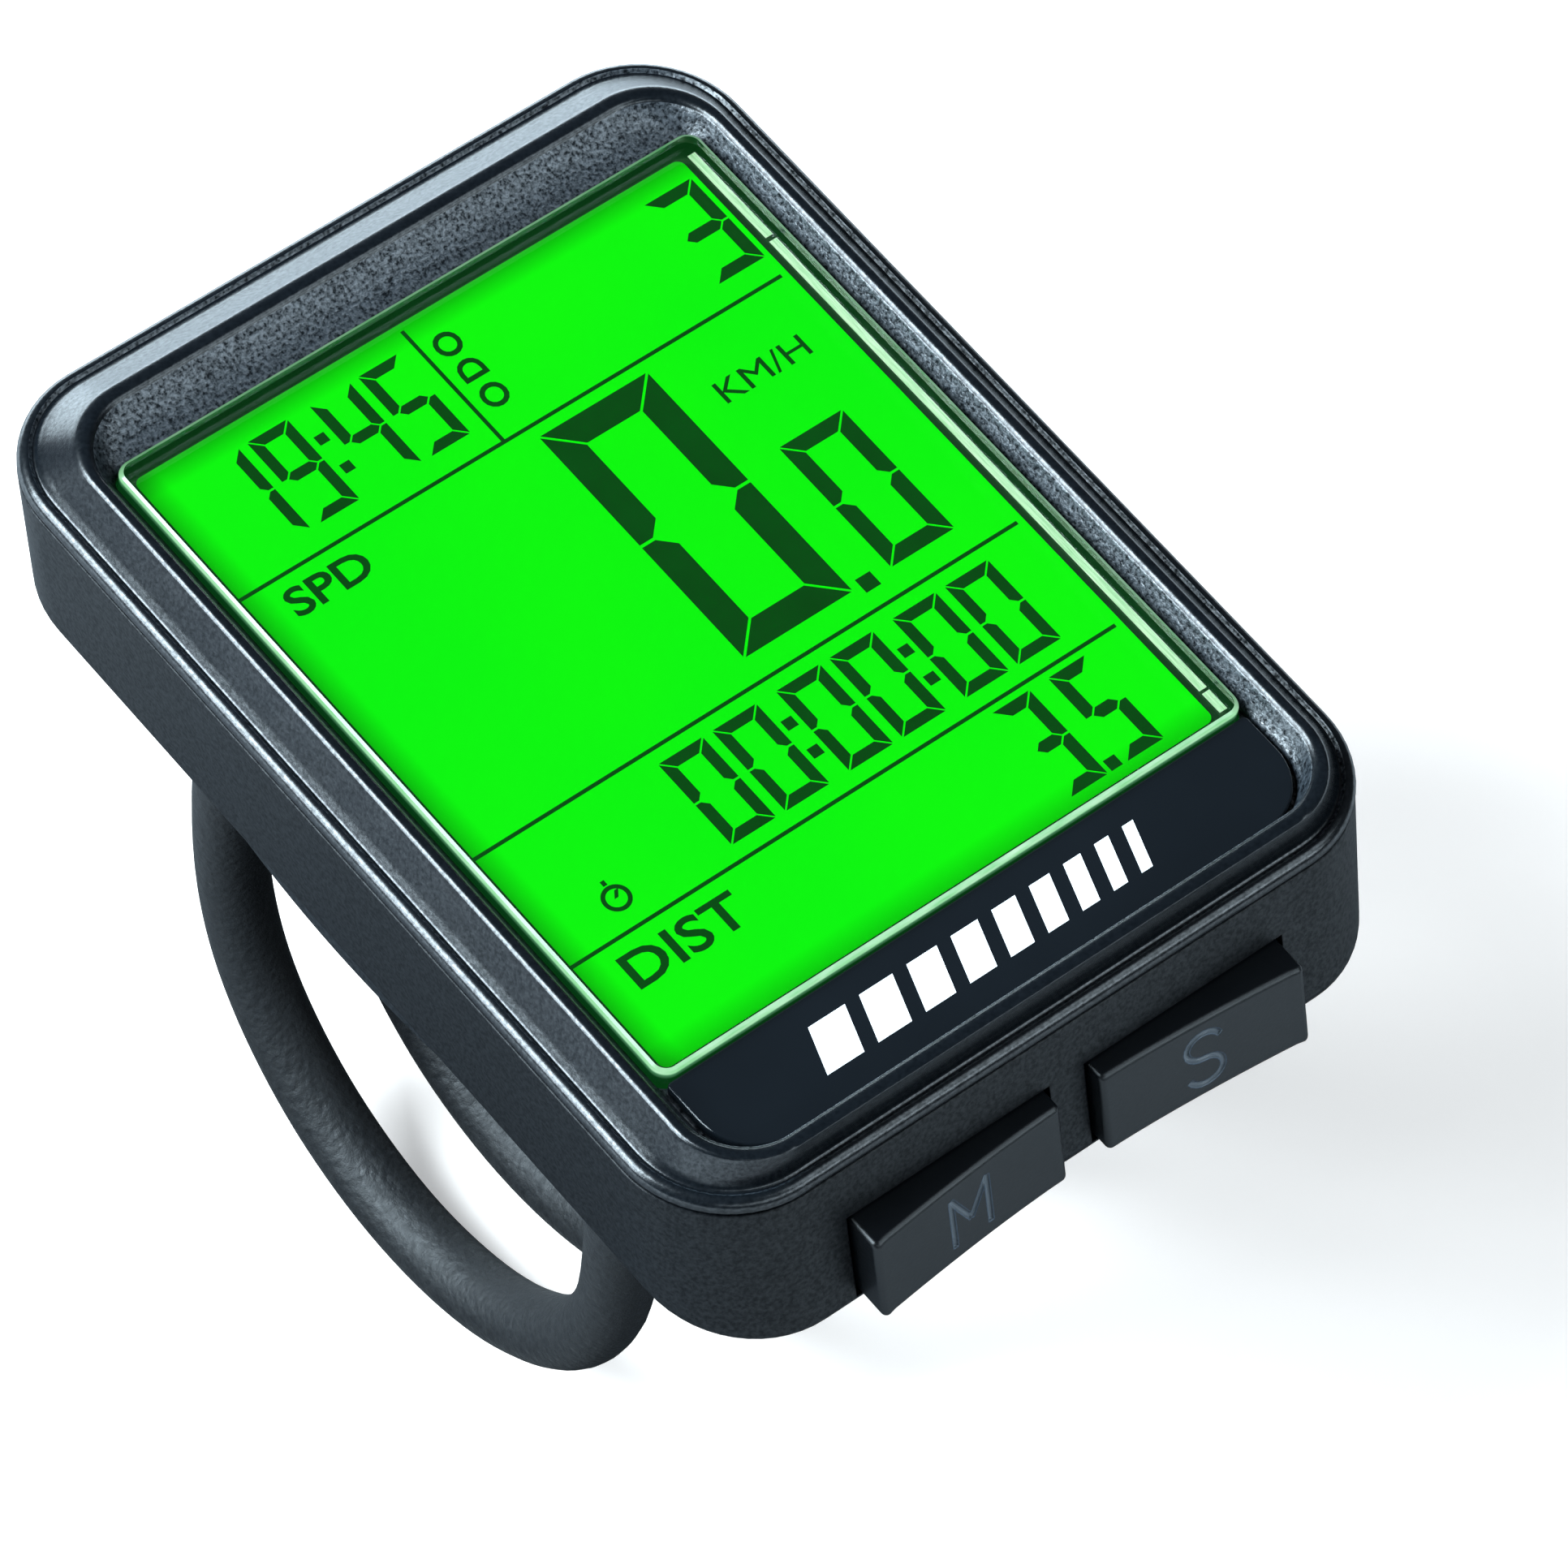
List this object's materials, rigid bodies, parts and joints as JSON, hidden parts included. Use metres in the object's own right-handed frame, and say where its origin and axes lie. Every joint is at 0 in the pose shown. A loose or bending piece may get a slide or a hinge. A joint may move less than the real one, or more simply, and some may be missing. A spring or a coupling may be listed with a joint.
{
  "type": "cycling computer",
  "caption": "Handlebar cycling computer: slim rounded head unit with a backlit display and front keys, sliding off a bracket that rubber straps hold to the bar.",
  "frame": {"origin": "middle of the flat strip under the rubber pad, where the pad rests on the handlebar", "axes": "+X to the display's right and along the handlebar, +Y to the display's top (away from the rider), +Z out of the display"},
  "size_m": [0.045, 0.0643, 0.0488],
  "materials": {
    "case_plastic": "fine-grained black moulding",
    "bezel_plastic": "fine sand-blasted black moulding with brighter worn edges",
    "gloss_fascia": "high-gloss black",
    "clear_lens": "clear moulded acrylic with polished bevel",
    "display_glass": "green backlit liquid crystal with dark segments",
    "light_guide_acrylic": "frosted acrylic",
    "white_film": "white film",
    "led_body": "white resin",
    "zebra_rubber": "silicone with conductive layers",
    "board_laminate": "green solder mask",
    "chip_epoxy": "black epoxy",
    "switch_plunger": "off-white nylon",
    "bright_steel": "nickel-plated",
    "capacitor_sleeve": "dark blue sleeve",
    "ferrite": "grey ceramic",
    "copper_wire": "enamelled copper wire",
    "key_rubber": "smooth black elastomer",
    "seal_rubber": "black silicone",
    "strap_rubber": "coarse-grained black rubber",
    "pad_rubber": "black rubber with fine ribs"
  },
  "bodies": {
    "bracket": {"bracket": "case_plastic", "rubber_pad": "pad_rubber", "strap_left": "strap_rubber", "strap_right": "strap_rubber", "lever_pin": "bright_steel"},
    "lever": {"release_lever": "case_plastic"},
    "head": {"rear_case": "case_plastic", "front_bezel": "bezel_plastic", "fascia_panel": "gloss_fascia", "lens": "clear_lens", "case_seal": "seal_rubber", "lcd_panel": "display_glass", "display_frame": "case_plastic", "light_guide": "light_guide_acrylic", "reflector_sheet": "white_film", "backlight_led_1": "led_body", "backlight_led_2": "led_body", "backlight_led_3": "led_body", "zebra_strip": "zebra_rubber", "main_pcb": "board_laminate", "controller_chip": "chip_epoxy", "crystal": "bright_steel", "capacitor": "capacitor_sleeve", "ferrite_rod": "ferrite", "receiver_coil": "copper_wire", "coin_cell": "bright_steel", "contact_negative": "bright_steel", "contact_positive": "bright_steel", "cover_seal": "seal_rubber", "switch_m": "chip_epoxy", "switch_s": "chip_epoxy", "case_screw_1": "bright_steel", "case_screw_2": "bright_steel", "case_screw_3": "bright_steel", "case_screw_4": "bright_steel"},
    "key_m": {"key_m": "key_rubber"},
    "plunger_m": {"plunger_m": "switch_plunger"},
    "key_s": {"key_s": "key_rubber"},
    "plunger_s": {"plunger_s": "switch_plunger"},
    "battery_cover": {"battery_cover": "case_plastic"}
  },
  "joints": [
    {"name": "head_slide", "type": "slide", "parent": "bracket", "child": "head", "axis": [0, -1, 0], "range_m": [0, 0.04]},
    {"name": "lever_press", "type": "hinge", "parent": "bracket", "child": "lever", "pos_m": [0, -0.0072, 0.0027], "axis": [1, 0, 0], "range_deg": [0, 6]},
    {"name": "key_m_press", "type": "slide", "parent": "head", "child": "key_m", "axis": [0, 1, 0], "range_m": [0, 0.0005]},
    {"name": "plunger_m_press", "type": "slide", "parent": "head", "child": "plunger_m", "axis": [0, 1, 0], "range_m": [0, 0.0005]},
    {"name": "key_s_press", "type": "slide", "parent": "head", "child": "key_s", "axis": [0, 1, 0], "range_m": [0, 0.0005]},
    {"name": "plunger_s_press", "type": "slide", "parent": "head", "child": "plunger_s", "axis": [0, 1, 0], "range_m": [0, 0.0005]},
    {"name": "battery_cover_turn", "type": "hinge", "parent": "head", "child": "battery_cover", "pos_m": [0, 0.004, 0.0048], "axis": [0, 0, 1], "range_deg": [0, 60]}
  ],
  "couplings": [
    {"joint": "plunger_m_press", "follows": "key_m_press", "ratio": 1},
    {"joint": "plunger_s_press", "follows": "key_s_press", "ratio": 1}
  ]
}
